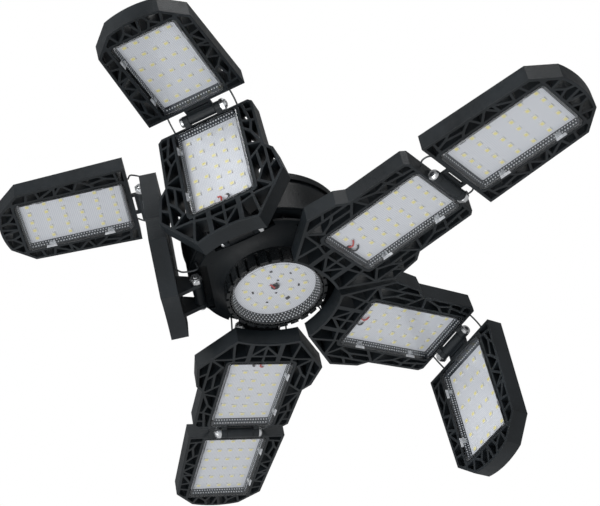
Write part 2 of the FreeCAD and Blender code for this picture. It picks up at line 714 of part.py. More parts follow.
for x, y in screw_places:
    head = doc.addObject("Part::Cylinder", "ScrewHead")
    head.setExpression("Radius", "Sizes.screw_radius * 2")
    head.setExpression("Height", "Sizes.screw_head")
    head.setExpression("Placement.Base.z", "Sizes.disc_low - Sizes.screw_head")
    shank = doc.addObject("Part::Cylinder", "ScrewShank")
    shank.setExpression("Radius", "Sizes.screw_radius")
    shank.setExpression("Height", "Sizes.screw_length")
    shank.setExpression("Placement.Base.z", "Sizes.disc_low")
    screw = doc.addObject("Part::MultiFuse", "DiscScrew")
    screw.Shapes = [head, shank]
    screw.Placement.Base = V(x, y, 0)
    screw_list.append(screw)


# -------------------------------------------------------------------- arms
SEATED = FreeCAD.Placement(V(0, 0, -neck_top), FreeCAD.Rotation())


def placed(name, pieces, placement):
    """Pieces drawn elsewhere, set in one place as a group."""
    compound = doc.addObject("Part::Compound", name)
    compound.Label = name
    compound.Links = pieces
    compound.Placement = placement
    return compound


def joined(name, pieces, placement):
    """A named sub-part, set down from the hub hinges' level to the base's seat."""
    return placed(name, pieces, SEATED * placement)


def tilt(angle):
    return FreeCAD.Rotation(Y_AXIS, angle)


def inner_place(arm):
    azimuth, hub_angle, _ = ARMS[arm]
    return hub_station(azimuth) * FreeCAD.Placement(V(0, 0, 0), tilt(hub_angle))


def outer_place(arm):
    elbow = V(size("elbow_reach"), 0, size("elbow_level"))
    return inner_place(arm) * FreeCAD.Placement(elbow, tilt(ARMS[arm][2]))


def soft_route(points):
    """The route with each bend cut into three short runs."""
    route = [points[0]]
    for before, point, after in zip(points, points[1:], points[2:]):
        reach = 0.4 * min((before - point).Length, (after - point).Length)
        first = point + (before - point).normalize() * reach
        last = point + (after - point).normalize() * reach
        route += [first, (first + last + point * 2) * 0.25, last]
    return route + points[-1:]


def lead_along(points):
    """One thin lead along a route, as a many-sided tube with mitred bends."""
    route = soft_route(points)
    along = (route[1] - route[0]).normalize()
    turn = FreeCAD.Rotation(Z_AXIS, along)
    count = int(size("lead_sides"))
    corners = []
    for place in range(count + 1):
        angle = 2 * math.pi * place / count
        spoke = V(math.cos(angle), math.sin(angle), 0) * size("lead_radius")
        corners.append(route[0] + turn.multVec(spoke))
    wire = Part.makePolygon(route)
    tube = wire.makePipeShell([Part.makePolygon(corners)], True, False, 1)
    section = count / 2 * math.sin(2 * math.pi / count) * size("lead_radius") ** 2
    lead_errors.append(abs(tube.Volume / (section * wire.Length) - 1))
    lead_lengths.append(wire.Length)
    return tube


lead_errors = []
lead_lengths = []


def elbow_leads(arm):
    """Two leads that bow from the inner panel's end over to the outer panel."""
    inner = inner_place(arm)
    outer = outer_place(arm)
    lead_level = size("panel_face") + size("lens_depth")
    tubes = []
    for side in (1, -1):
        half = side * size("elbow_lead_half")
        leave = V(size("inner_end") + size("lead_gap"), half, lead_level)
        arrive = V(size("outer_start") - size("lead_gap"), half, lead_level - size("elbow_level"))
        bow = V(0, side * size("elbow_lead_bow"), 0)
        points = [
            inner.multVec(leave),
            inner.multVec(leave + V(3.6, 0, 0) + bow),
            outer.multVec(arrive + V(-3.6, 0, 0) + bow),
            outer.multVec(arrive),
        ]
        tubes.append(lead_along(points))
    return Part.makeCompound(tubes)


def hub_leads(arm):
    """Two leads that run from under the hub's disc to the inner panel's back."""
    azimuth = ARMS[arm][0]
    hub = FreeCAD.Placement(V(0, 0, 0), FreeCAD.Rotation(Z_AXIS, azimuth))
    inner = inner_place(arm)
    tubes = []
    for side in (1, -1):
        half = side * size("hub_lead_half")
        leave = V(size("hub_lead_start"), half, size("disc_low"))
        arrive = V(size("inner_lens_start"), half, back_level + size("lead_gap"))
        points = [
            hub.multVec(leave),
            hub.multVec(leave + V(0, 0, -6.0)),
            inner.multVec(arrive + V(-5.0, 0, 5.0)),
            inner.multVec(arrive),
        ]
        tubes.append(lead_along(points))
    return Part.makeCompound(tubes)


def in_code(name, shape):
    feature = doc.addObject("Part::Feature", name)
    feature.Label = name
    feature.Shape = shape
    feature.Placement = SEATED
    return feature


HERE = FreeCAD.Placement()
sub_parts = [
    joined("screw_shell", [screw_shell], HERE),
    joined("tip_contact", [tip], HERE),
    joined("base_insulator", [insulator], HERE),
    joined("base_neck", [neck], HERE),
    joined("drum_cover", [cover], HERE),
    joined("drum_housing", [drum], HERE),
    joined("hinge_hub", [hinge_hub], HERE),
    joined("vent_ring", [vent_ring], HERE),
    joined("round_board", [round_board], HERE),
    joined("round_leds", [round_leds], HERE),
    joined("round_lens", [round_lens], HERE),
    joined("driver_board", [driver], HERE),
    joined("disc_screws", screw_list, HERE),
]
hub_bolt_set = [placed("hub_bolt_" + arm, [hub_bolt], hub_station(ARMS[arm][0])) for arm in ARMS]
sub_parts.append(joined("hub_bolts", hub_bolt_set, HERE))
for arm in ARMS:
    inner = inner_place(arm)
    outer = outer_place(arm)
    sub_parts += [
        joined(arm + "_inner_frame", [inner_frame], inner),
        joined(arm + "_inner_board", [inner_board], inner),
        joined(arm + "_inner_lens", [inner_lens], inner),
        joined(arm + "_elbow_bolt", [elbow_bolt], inner),
        joined(arm + "_outer_frame", [outer_frame], outer),
        joined(arm + "_outer_board", [outer_board], outer),
        joined(arm + "_outer_lens", [outer_lens], outer),
        in_code(arm + "_elbow_leads", elbow_leads(arm)),
        in_code(arm + "_hub_leads", hub_leads(arm)),
    ]

doc.recompute()
for item in doc.Objects:
    if "Invalid" in item.State or "Error" in item.State:
        raise RuntimeError("%s did not build" % item.Label)
for item in sub_parts:
    if item.Shape.isNull() or not item.Shape.isValid():
        raise RuntimeError("%s has no sound shape" % item.Label)

os.makedirs("parts", exist_ok=True)
for item in sub_parts:
    item.Shape.exportStep("parts/%s.step" % item.Label)

print("leads from %.0f to %.0f mm long" % (min(lead_lengths), max(lead_lengths)))
print("largest error of a lead's volume: %.4f" % max(lead_errors))
print("%d sub-parts" % len(sub_parts))
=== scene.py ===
import bmesh
import bpy
import json
import math
from mathutils import Matrix, Vector


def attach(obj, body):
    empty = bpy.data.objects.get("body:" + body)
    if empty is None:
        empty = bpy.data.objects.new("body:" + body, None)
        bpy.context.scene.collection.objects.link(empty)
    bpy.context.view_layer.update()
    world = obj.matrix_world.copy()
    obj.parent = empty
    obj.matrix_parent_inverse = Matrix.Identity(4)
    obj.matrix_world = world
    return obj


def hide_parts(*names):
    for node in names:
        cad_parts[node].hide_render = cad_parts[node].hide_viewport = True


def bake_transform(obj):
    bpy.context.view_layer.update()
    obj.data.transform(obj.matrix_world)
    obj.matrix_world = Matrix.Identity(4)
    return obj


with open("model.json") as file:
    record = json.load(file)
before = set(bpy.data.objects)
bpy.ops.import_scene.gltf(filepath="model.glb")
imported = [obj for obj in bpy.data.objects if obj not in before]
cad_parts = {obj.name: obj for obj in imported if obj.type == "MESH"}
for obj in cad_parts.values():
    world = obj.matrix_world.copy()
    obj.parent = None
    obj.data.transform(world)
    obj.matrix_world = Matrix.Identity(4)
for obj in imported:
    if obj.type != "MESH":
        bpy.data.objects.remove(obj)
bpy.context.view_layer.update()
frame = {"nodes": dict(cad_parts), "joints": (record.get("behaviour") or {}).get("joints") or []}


# ---------------------------------------------------------------- drum
# The drum holds the driver. Its side wall, cover, neck and the hinge hub
# under it are injection moulded in black plastic with a fine matte grain,
# and are screwed together from inside.
MM = 0.001
FLOW_SCALE = 35.0
SHEEN_SCALE = 240.0
SPARK_SCALE = 1300.0
SPARK_DEPTH = 0.22 * MM
MOULDED_EDGE = 0.5 * MM


def new_finish(name):
    """A node material with its shader, and a coordinate that stays on the piece."""
    material = bpy.data.materials.new(name)
    material.use_nodes = True
    tree = material.node_tree
    shader = tree.nodes["Principled BSDF"]
    place = tree.nodes.new("ShaderNodeTexCoord").outputs["Object"]
    return material, tree, shader, place


def grain(tree, place, scale, detail=3.0):
    """A noise of features about 1/scale metres wide."""
    noise = tree.nodes.new("ShaderNodeTexNoise")
    noise.inputs["Scale"].default_value = scale
    noise.inputs["Detail"].default_value = detail
    tree.links.new(place, noise.inputs["Vector"])
    return noise.outputs["Fac"]


def shades(tree, factor, stops):
    """Colours or greys spread over a factor from 0 to 1."""
    ramp = tree.nodes.new("ShaderNodeValToRGB")
    while len(ramp.color_ramp.elements) < len(stops):
        ramp.color_ramp.elements.new(0.5)
    for element, (position, colour) in zip(ramp.color_ramp.elements, stops):
        element.position = position
        level = colour if isinstance(colour, tuple) else (colour,) * 3
        element.color = level + (1.0,)
    tree.links.new(factor, ramp.inputs["Fac"])
    return ramp.outputs["Color"]


def soft_edges(tree, radius):
    """A normal that rounds the edges of moulded pieces."""
    edges = tree.nodes.new("ShaderNodeBevel")
    edges.samples = 4
    edges.inputs["Radius"].default_value = radius
    return edges.outputs["Normal"]


def relief(tree, shader, height, depth, strength, edge=0.0):
    """Fine surface relief, its depth in metres, over softened edges."""
    bump = tree.nodes.new("ShaderNodeBump")
    bump.inputs["Distance"].default_value = depth
    bump.inputs["Strength"].default_value = strength
    tree.links.new(height, bump.inputs["Height"])
    if edge:
        tree.links.new(soft_edges(tree, edge), bump.inputs["Normal"])
    tree.links.new(bump.outputs["Normal"], shader.inputs["Normal"])


def moulded_plastic(name, dark, light, rough, shine=0.35):
    """Matte moulded plastic: slow shade changes from the flow of the melt,
    a fine spark-eroded grain, and slightly uneven gloss."""
    material, tree, shader, place = new_finish(name)
    colour = shades(tree, grain(tree, place, FLOW_SCALE), [(0.35, dark), (0.65, light)])
    tree.links.new(colour, shader.inputs["Base Color"])
    shader.inputs["Specular IOR Level"].default_value = shine
    sheen = grain(tree, place, SHEEN_SCALE)
    gloss = shades(tree, sheen, [(0.3, rough - 0.07), (0.7, rough + 0.07)])
    tree.links.new(gloss, shader.inputs["Roughness"])
    sparks = grain(tree, place, SPARK_SCALE, 2.0)
    relief(tree, shader, sparks, SPARK_DEPTH, 0.75, MOULDED_EDGE)
    return material


def dress(node, material):
    """Gives one of the part's solids its finish."""
    node_object = frame["nodes"][node]
    node_object.data.materials.clear()
    node_object.data.materials.append(material)


drum_black = moulded_plastic("drum_black", (0.005, 0.0065, 0.008), (0.009, 0.0115, 0.0135),
                             0.34, 0.18)
for node in ("drum_housing", "drum_cover", "base_neck", "hinge_hub"):
    dress(node, drum_black)


# ---------------------------------------------------------------- screw base
# The medium screw base: a shell of nickel-plated brass with a rolled thread,
# crimped over a black glass insulator, and a soldered tip contact.
PATCH_SCALE = 160.0
PATCH_SHADE = 0.82
SCRATCH_DEPTH = 0.02 * MM
THREAD_CREST = 13.1 * MM
THREAD_ROOT = 12.25 * MM
THREAD_PITCH = 3.6 * MM
THREAD_START = 1.8 * MM
THREAD_END = 17.6 * MM
SHELL_WALL = 19.364 * MM
SHELL_SIDES = 96
SHELL_LEVELS = 84
# Radius and level of the crimped edge, from the wall's end inwards.
CRIMP_PROFILE = ((12.3 * MM, 19.8 * MM), (11.0 * MM, 20.5 * MM), (10.6 * MM, 20.6 * MM),
                 (9.9 * MM, 20.3 * MM))
SEAT_FRAME = Matrix.Identity(4)


def plated_metal(name, tint, rough, scratch_scale):
    """Plated metal with fine scratches and a few dull patches."""
    material, tree, shader, place = new_finish(name)
    shader.inputs["Metallic"].default_value = 1.0
    patch = tuple(PATCH_SHADE * c for c in tint)
    colour = shades(tree, grain(tree, place, PATCH_SCALE), [(0.3, patch), (0.7, tint)])
    tree.links.new(colour, shader.inputs["Base Color"])
    scratches = grain(tree, place, scratch_scale, 6.0)
    gloss = shades(tree, scratches, [(0.3, rough), (0.75, rough + 0.16)])
    tree.links.new(gloss, shader.inputs["Roughness"])
    relief(tree, shader, grain(tree, place, scratch_scale * 2, 2.0), SCRATCH_DEPTH, 0.4)
    return material


def loft(rings, slot, close_start=False, close_end=False):
    """Faces between rings of equal count, in one of the piece's finishes."""
    count = len(rings[0])
    vertices = [point for ring in rings for point in ring]
    faces = []
    for level in range(len(rings) - 1):
        base = level * count
        for i in range(count):
            following = (i + 1) % count
            faces.append((base + i, base + following, base + count + following, base + count + i))
    if close_start:
        faces.append(tuple(reversed(range(count))))
    if close_end:
        faces.append(tuple(range(len(vertices) - count, len(vertices))))
    return vertices, faces, slot


def circle_ring(radius, level, count=72):
    """Points of a circle round the lamp's axis."""
    turns = [2 * math.pi * i / count for i in range(count)]
    return [(radius * math.cos(turn), radius * math.sin(turn), level) for turn in turns]


def new_piece(name, mesh_parts, where, materials, flat=True):
    """An object from (vertices, faces, slot) parts, placed by a matrix."""
    vertices, faces, slots = [], [], []
    for part_vertices, part_faces, slot in mesh_parts:
        start = len(vertices)
        vertices += [where @ Vector(v) for v in part_vertices]
        faces += [tuple(start + i for i in face) for face in part_faces]
        slots += [slot] * len(part_faces)
    mesh = bpy.data.meshes.new(name)
    mesh.from_pydata(vertices, [], faces)
    for material in materials:
        mesh.materials.append(material)
    mesh.polygons.foreach_set("material_index", slots)
    mesh.polygons.foreach_set("use_smooth", [not flat] * len(faces))
    skin = bmesh.new()
    skin.from_mesh(mesh)
    bmesh.ops.recalc_face_normals(skin, faces=skin.faces)
    skin.to_mesh(mesh)
    skin.free()
    piece = bpy.data.objects.new(name, mesh)
    bpy.context.scene.collection.objects.link(piece)
    return piece


def thread_ring(level):
    """One ring of the rolled thread, which fades out at both ends."""
    fade = min(1.0, (level - THREAD_START) / THREAD_PITCH, (THREAD_END - level) / THREAD_PITCH)
    fade = max(0.0, fade)
    middle = (THREAD_CREST + THREAD_ROOT) / 2
    swing = (THREAD_CREST - THREAD_ROOT) / 2
    ring = []
    for side in range(SHELL_SIDES):
        turn = 2 * math.pi * side / SHELL_SIDES
        radius = middle + swing * math.cos(2 * math.pi * level / THREAD_PITCH - turn) * fade
        ring.append((radius * math.cos(turn), radius * math.sin(turn), level))
    return ring


nickel = plated_metal("nickel", (0.78, 0.76, 0.71), 0.24, 900.0)
shell_rings = [thread_ring(SHELL_WALL * step / SHELL_LEVELS) for step in range(SHELL_LEVELS + 1)]
shell_rings += [circle_ring(radius, level, SHELL_SIDES) for radius, level in CRIMP_PROFILE]
rolled_shell = new_piece("rolled_shell", [loft(shell_rings, 0)], SEAT_FRAME, [nickel], flat=False)
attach(rolled_shell, "root")
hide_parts("screw_shell")
solder = plated_metal("solder", (0.70, 0.70, 0.72), 0.34, 500.0)
dress("tip_contact", solder)
base_glass = moulded_plastic("base_glass", (0.008, 0.008, 0.01), (0.016, 0.016, 0.02), 0.16)
dress("base_insulator", base_glass)


# ---------------------------------------------------------------- driver
# The driver inside the drum: a green circuit board with its parts, screwed
# to spacers. The closed drum hides it.
driver_green = moulded_plastic("driver_green", (0.02, 0.1, 0.045), (0.03, 0.15, 0.06), 0.4)
dress("driver_board", driver_green)


# ---------------------------------------------------------------- panel frames
# Ten lattice frames, two to an arm, injection moulded in black plastic. Ears,
# lugs and knuckles are moulded on, so that each frame carries its own hinges.
ARM_TURNS = {  # degrees down from level at the hub, and more at the elbow
    "arm_1": (-90.0, 97.0),
    "arm_2": (2.0, 1.0),
    "arm_3": (-3.0, 95.0),
    "arm_4": (-4.0, 1.0),
    "arm_5": (-90.0, 91.0),
}
ARMS = list(ARM_TURNS)
PANELS = [(arm, which) for arm in ARMS for which in ("inner", "outer")]
UP = Vector((0, 0, 1))
hinges = {joint["name"]: joint for joint in frame["joints"]}
HINGE_LEVEL = hinges["arm_1_hub_hinge"]["pos_m"][2]
HUB_FRAME = Matrix.Translation((0, 0, HINGE_LEVEL))


def panel_frame(arm, which):
    """Matrix from a panel's own axes to the light's. The inner panel's start
    at its hub hinge and the outer one's at the elbow, with x along the arm, y
    along the hinge and z away from the lamp face."""
    hub_turn, elbow_turn = ARM_TURNS[arm]
    name = arm + ("_hub_hinge" if which == "inner" else "_elbow_hinge")
    turn = hub_turn if which == "inner" else hub_turn + elbow_turn
    pin = Vector(hinges[name]["axis"])
    level = Matrix((pin.cross(UP), pin, UP)).transposed()
    tilted = Matrix.Rotation(math.radians(turn), 3, pin) @ level
    return Matrix.Translation(hinges[name]["pos_m"]) @ tilted.to_4x4()


frame_black = moulded_plastic("frame_black", (0.009, 0.012, 0.0145), (0.015, 0.0195, 0.0235), 0.4)
for arm, which in PANELS:
    dress("%s_%s_frame" % (arm, which), frame_black)


# ---------------------------------------------------------------- hinge screws
# Socket-head M4 screws run through the ten hinges, each with a lock nut whose
# collar grips the thread, and five small screws hold the disc. All are of
# steel, pressed and turned, with a bright zinc plating.
BOLT_RADIUS = 1.9 * MM
HEAD_RADIUS = 3.6 * MM
HEAD_HEIGHT = 2.4 * MM
# The head's crown: share of its radius, and depth below its end.
HEAD_CROWN = ((1.0, 1.0 * MM), (0.86, 0.25 * MM), (0.6, 0.0))
SOCKET_FLATS = 3.0 * MM
SOCKET_DEPTH = 1.6 * MM
NUT_FLATS = 7.8 * MM
NUT_HEIGHT = 3.2 * MM
NUT_CHAMFER = 0.35 * MM
NUT_SHOULDER = 0.5 * MM
NUT_CROWN = 0.97
NUT_CROWN_CORNERS = 0.1
COLLAR_RADIUS = 3.1 * MM
COLLAR_HEIGHT = 1.0 * MM
COLLAR_TAPER = 0.94
COLLAR_BORE = 2.204 * MM
THREAD_PROUD = 0.2 * MM
THREAD_POINT = 0.4 * MM
THREAD_POINT_SHARE = 0.72
HUB_GRIP = 12.8 * MM
ELBOW_GRIP = 14.55 * MM
FACETS = 36
STEEL, RECESS = range(2)


def pin_ring(radius, along, corners=0.0):
    """Points round the pin at a distance along it. With corners at 1 the
    ring is a hexagon whose flats lie at the radius."""
    ring = []
    for side in range(FACETS):
        turn = 2 * math.pi * side / FACETS
        within = (turn + math.pi / 6) % (math.pi / 3) - math.pi / 6
        reach = radius * (1.0 + corners * (1.0 / math.cos(within) - 1.0))
        ring.append((reach * math.cos(turn), along, reach * math.sin(turn)))
    return ring


def hinge_bolt(grip):
    """A socket-head screw along y with its lock nut and the thread's end,
    clamping from minus to plus its grip."""
    head_end = -grip - HEAD_HEIGHT
    nut_end = grip + NUT_HEIGHT
    collar_end = nut_end + COLLAR_HEIGHT
    flats = NUT_FLATS / 2
    socket = SOCKET_FLATS / 2
    head = [(BOLT_RADIUS, -grip), (HEAD_RADIUS, -grip)]
    head += [(HEAD_RADIUS * share, head_end + depth) for share, depth in HEAD_CROWN]
    head += [(socket, head_end, 1.0)]
    socket_wall = [(socket, head_end, 1.0), (socket, head_end + SOCKET_DEPTH, 1.0)]
    shank = [(BOLT_RADIUS, -grip), (BOLT_RADIUS, grip)]
    nut = [(BOLT_RADIUS, grip), (flats, grip), (flats, grip + NUT_CHAMFER, 1.0),
           (flats, nut_end - NUT_SHOULDER, 1.0), (flats * NUT_CROWN, nut_end, NUT_CROWN_CORNERS),
           (COLLAR_RADIUS, nut_end), (COLLAR_RADIUS * COLLAR_TAPER, collar_end),
           (COLLAR_BORE, collar_end)]
    collar_wall = [(COLLAR_BORE, collar_end), (BOLT_RADIUS, nut_end)]
    thread_end = [(BOLT_RADIUS, nut_end), (BOLT_RADIUS, collar_end + THREAD_PROUD),
                  (BOLT_RADIUS * THREAD_POINT_SHARE, collar_end + THREAD_PROUD + THREAD_POINT)]
    turned = ((head, STEEL, False), (socket_wall, RECESS, True), (shank, STEEL, False),
              (nut, STEEL, False), (collar_wall, RECESS, False), (thread_end, STEEL, True))
    return [loft([pin_ring(*station) for station in stations], slot, close_end=closed)
            for stations, slot, closed in turned]


def moved(part, where):
    """A part's faces at another place."""
    vertices, faces, slot = part
    return [where @ Vector(v) for v in vertices], faces, slot


zinc = plated_metal("zinc", (0.82, 0.84, 0.86), 0.2, 1400.0)
# Painted shade: a darker, rougher zinc on the socket's wall and the collar's bore, the screws'
# recesses.
zinc_recess_shade = plated_metal("zinc_recess_shade", (0.3, 0.31, 0.33), 0.45, 900.0)
dress("disc_screws", zinc)
hub_parts = []
for arm in ARMS:
    elbow_screw = new_piece(arm + "_elbow_screw", hinge_bolt(ELBOW_GRIP), panel_frame(arm, "outer"),
                            [zinc, zinc_recess_shade])
    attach(elbow_screw, arm + "_inner")
    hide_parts(arm + "_elbow_bolt")
    hub_parts += [moved(part, panel_frame(arm, "inner")) for part in hinge_bolt(HUB_GRIP)]
hub_screws = new_piece("hub_hinge_screws", hub_parts, SEAT_FRAME, [zinc, zinc_recess_shade])
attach(hub_screws, "root")
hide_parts("hub_bolts")


# ---------------------------------------------------------------- boards
# Lamp boards: aluminium sheet under white lacquer, with fine copper traces
# showing through as faint lines. They are cut with round corners and lie on
# the floors of the frames' trays.
PANEL_FACE = {"inner": -26.25 * MM, "outer": 0.94 * MM}
COVER_START = {"inner": 9.1 * MM, "outer": 11.0 * MM}
COVER_LENGTH = 80.5 * MM
COVER_HALF = 24.0 * MM
COVER_CORNER = 4.0 * MM
COVER_DEPTH = 6.8 * MM
BOARD_EDGE = 1.75 * MM
BOARD_THICKNESS = 1.2 * MM
BOARD_FRONT = COVER_DEPTH - BOARD_THICKNESS
TRACE_SCALES = (("X", 23.0), ("Y", 27.0))
TRACE_DEPTH = 0.03 * MM
UV_PER_METRE = 10


def round_rectangle(x0, y0, x1, y1, corner, steps=5):
    """Points of a rectangle with round corners, anticlockwise."""
    points = []
    for cx, cy, start in ((x1 - corner, y0 + corner, -90), (x1 - corner, y1 - corner, 0),
                          (x0 + corner, y1 - corner, 90), (x0 + corner, y0 + corner, 180)):
        for step in range(steps + 1):
            angle = math.radians(start + 90.0 * step / steps)
            points.append((cx + corner * math.cos(angle), cy + corner * math.sin(angle)))
    return points


def slab(outline, low, high, slot=0):
    """A closed plate between two levels."""
    rings = [[(x, y, level) for x, y in outline] for level in (low, high)]
    return loft(rings, slot, close_start=True, close_end=True)


def give_uv(piece, where):
    """Stores each corner's place in the board's own axes, in decimetres."""
    back = where.inverted()
    layer = piece.data.uv_layers.new(name="panel")
    for loop in piece.data.loops:
        point = back @ piece.data.vertices[loop.vertex_index].co
        layer.data[loop.index].uv = (point.x * UV_PER_METRE, point.y * UV_PER_METRE)


def lacquered_board():
    """White lacquer over fine crossed traces, with a slight orange peel."""
    material, tree, shader, place = new_finish("lacquered_board")
    flat_place = tree.nodes.new("ShaderNodeUVMap")
    flat_place.uv_map = "panel"
    traces = tree.nodes.new("ShaderNodeMath")
    traces.operation = "MULTIPLY"
    for crossed, (direction, scale) in enumerate(TRACE_SCALES):
        lines = tree.nodes.new("ShaderNodeTexWave")
        lines.bands_direction = direction
        lines.inputs["Scale"].default_value = scale
        lines.inputs["Distortion"].default_value = 0.4
        tree.links.new(flat_place.outputs["UV"], lines.inputs["Vector"])
        tree.links.new(lines.outputs["Fac"], traces.inputs[crossed])
    lacquer = [(0.0, (0.66, 0.69, 0.75)), (0.3, (0.78, 0.81, 0.86)), (0.8, (0.88, 0.9, 0.93))]
    colour = shades(tree, traces.outputs["Value"], lacquer)
    tree.links.new(colour, shader.inputs["Base Color"])
    gloss = shades(tree, grain(tree, place, 300.0), [(0.3, 0.3), (0.7, 0.42)])
    tree.links.new(gloss, shader.inputs["Roughness"])
    relief(tree, shader, traces.outputs["Value"], TRACE_DEPTH, 0.5)
    return material


board_white = lacquered_board()
for arm, which in PANELS:
    where = panel_frame(arm, which)
    near = COVER_START[which] + BOARD_EDGE
    far = COVER_START[which] + COVER_LENGTH - BOARD_EDGE
    half = COVER_HALF - BOARD_EDGE
    outline = round_rectangle(near, -half, far, half, COVER_CORNER - BOARD_EDGE)
    front = PANEL_FACE[which] + BOARD_FRONT
    board = new_piece("%s_%s_lamp_board" % (arm, which),
                      [slab(outline, front, front + BOARD_THICKNESS)], where, [board_white])
    give_uv(board, where)
    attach(board, "%s_%s" % (arm, which))
    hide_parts("%s_%s_board" % (arm, which))


# ---------------------------------------------------------------- chips
# Lamp chips: white ceramic cups filled with yellowish phosphor, soldered in
# rows of six, with a small bare pad beside each. Two columns of an inner panel
# start later, to leave room by the hub for the leads' solder joints.
CHIP_LONG = 3.5 * MM
CHIP_WIDE = 3.0 * MM
# The cup's shares of length and width, height over the board and corner, from
# the board up its wall, over its lip and down to the phosphor.
CUP_PROFILE = ((1.0, 1.0, 0.0, 0.25 * MM), (1.0, 1.0, 0.67 * MM, 0.25 * MM),
               (0.94, 0.94, 0.75 * MM, 0.25 * MM), (0.74, 0.78, 0.75 * MM, 0.5 * MM),
               (0.7, 0.74, 0.65 * MM, 0.5 * MM))
FILLING_TOP = (0.4, 0.4, 0.73 * MM, 0.3 * MM)
PAD_PROFILE = ((0.14, 0.2, 0.0, 0.08 * MM), (0.14, 0.2, 0.12 * MM, 0.08 * MM))
PAD_AWAY = 2.31 * MM
PAD_TURN = 0.6
ROW_COUNT = 6
COLUMN_PITCH = 8.25 * MM
FIRST_ROW = {"inner": 17.1 * MM, "outer": 21.0 * MM}
LAST_ROW = {"inner": 79.6 * MM, "outer": 83.0 * MM}
SHORT_COLUMN_START = 26.0 * MM
CERAMIC, FILLING, PAD = range(3)


def chip_ring(x, y, front, turn, long_share, wide_share, height, corner):
    """A round-cornered ring over the board, turned like its chip."""
    long, wide = CHIP_LONG * long_share / 2, CHIP_WIDE * wide_share / 2
    c, s = math.cos(turn), math.sin(turn)
    return [(x + px * c - py * s, y + px * s + py * c, front - height)
            for px, py in round_rectangle(-long, -wide, long, wide, corner, 2)]


def chip(x, y, front, turn):
    """A chip's cup with its sunk, slightly domed phosphor, and its pad."""
    cup = [chip_ring(x, y, front, turn, *station) for station in CUP_PROFILE]
    filling = [cup[-1], chip_ring(x, y, front, turn, *FILLING_TOP)]
    pad_x = x + PAD_AWAY * math.cos(turn + PAD_TURN)
    pad_y = y + PAD_AWAY * math.sin(turn + PAD_TURN)
    pad = [chip_ring(pad_x, pad_y, front, turn, *station) for station in PAD_PROFILE]
    return [loft(cup, CERAMIC, close_start=True), loft(filling, FILLING, close_end=True),
            loft(pad, PAD, close_end=True)]


def chip_places(which):
    """Where the chips stand on a board, column by column."""
    places = []
    for column in range(-2, 3):
        short = which == "inner" and column in (0, 1)
        first = SHORT_COLUMN_START if short else FIRST_ROW[which]
        pitch = (LAST_ROW[which] - first) / (ROW_COUNT - 1)
        places += [(first + pitch * row, column * COLUMN_PITCH) for row in range(ROW_COUNT)]
    return places


def fired_finish(name, dark, light, rough, fineness, shine=0.5):
    """Ceramic or resin with a fine change of shade."""
    material, tree, shader, place = new_finish(name)
    shader.inputs["Specular IOR Level"].default_value = shine
    colour = shades(tree, grain(tree, place, fineness), [(0.3, dark), (0.7, light)])
    tree.links.new(colour, shader.inputs["Base Color"])
    sheen = grain(tree, place, fineness * 2)
    gloss = shades(tree, sheen, [(0.3, rough - 0.04), (0.7, rough + 0.04)])
    tree.links.new(gloss, shader.inputs["Roughness"])
    return material


chip_white = fired_finish("chip_white", (0.8, 0.8, 0.74), (0.86, 0.86, 0.82), 0.35, 900.0)
phosphor = fired_finish("phosphor", (0.88, 0.79, 0.3), (0.94, 0.88, 0.44), 0.25, 1500.0)
solder_pad = fired_finish("solder_pad", (0.2, 0.16, 0.13), (0.34, 0.29, 0.25), 0.3, 1100.0)
CHIP_FINISHES = [chip_white, phosphor, solder_pad]
for arm, which in PANELS:
    parts = []
    for x, y in chip_places(which):
        parts += chip(x, y, PANEL_FACE[which] + BOARD_FRONT, math.pi / 2)
    chips = new_piece("%s_%s_chips" % (arm, which), parts, panel_frame(arm, which), CHIP_FINISHES)
    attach(chips, "%s_%s" % (arm, which))


# ---------------------------------------------------------------- covers
# Clear moulded covers that snap into the trays with bright tabs. Their inner
# walls slope to the board and carry rows of small prisms; the skin is clear.
# The sloping walls are painted dark as shade and the prisms white as painted
# highlights, and beside each tab lies a painted reflection of it.
SKIN_LEVEL = 1.1 * MM
# Inset, level under the face and corner of the rim, from its foot by the
# board, up its outer wall and over to the skin.
RIM_PROFILE = ((1.5 * MM, COVER_DEPTH, 2.5 * MM), (0.0, COVER_DEPTH, COVER_CORNER),
               (0.0, 0.6 * MM, COVER_CORNER), (0.6 * MM, 0.0, 3.4 * MM),
               (2.2 * MM, 0.0, 1.8 * MM), (2.5 * MM, 0.3 * MM, 1.6 * MM))
SLOPE_TOP = 1.9 * MM
SLOPE_FOOT = 3.0 * MM
SLOPE_TOP_CORNER = 1.6 * MM
SLOPE_FOOT_CORNER = 1.0 * MM
START_FOOT = {"inner": 3.0 * MM, "outer": 3.6 * MM}
END_FOOT = {"inner": 4.0 * MM, "outer": 3.0 * MM}
FOOT_LEVEL = BOARD_FRONT - 0.05 * MM
PRISM_PITCH = 2.1 * MM
PRISM_REACH = 0.44 * MM
PRISM_HIGH = 0.3 * MM
TWO_ROWS = (0.28, 0.74)
HINGE_SIDE = 3
HINGE_SIDE_ROW = (0.5,)
TAB_PLACES = {"inner": (27.0 * MM, 72.0 * MM), "outer": (30.0 * MM, 74.0 * MM)}
PLATE_THICKNESS = 0.25 * MM
PLATE_TAPER = 0.5 * MM
SKIN, RIM, SLOPE, PRISM, TAB, TAB_REFLECTION, ROUND_SLOPE = range(7)
# A tab and the painted reflection of it on the sloping wall: shift, length,
# finish, and the inset and level of its upper and lower edge.
TAB_PLATES = ((0.0, 8.0 * MM, TAB, (0.5 * MM, 0.1 * MM), (1.7 * MM, 1.9 * MM)),
              (-1.0 * MM, 4.8 * MM, TAB_REFLECTION, (2.2 * MM, 1.0 * MM),
               (3.1 * MM, 0.7 * FOOT_LEVEL)))


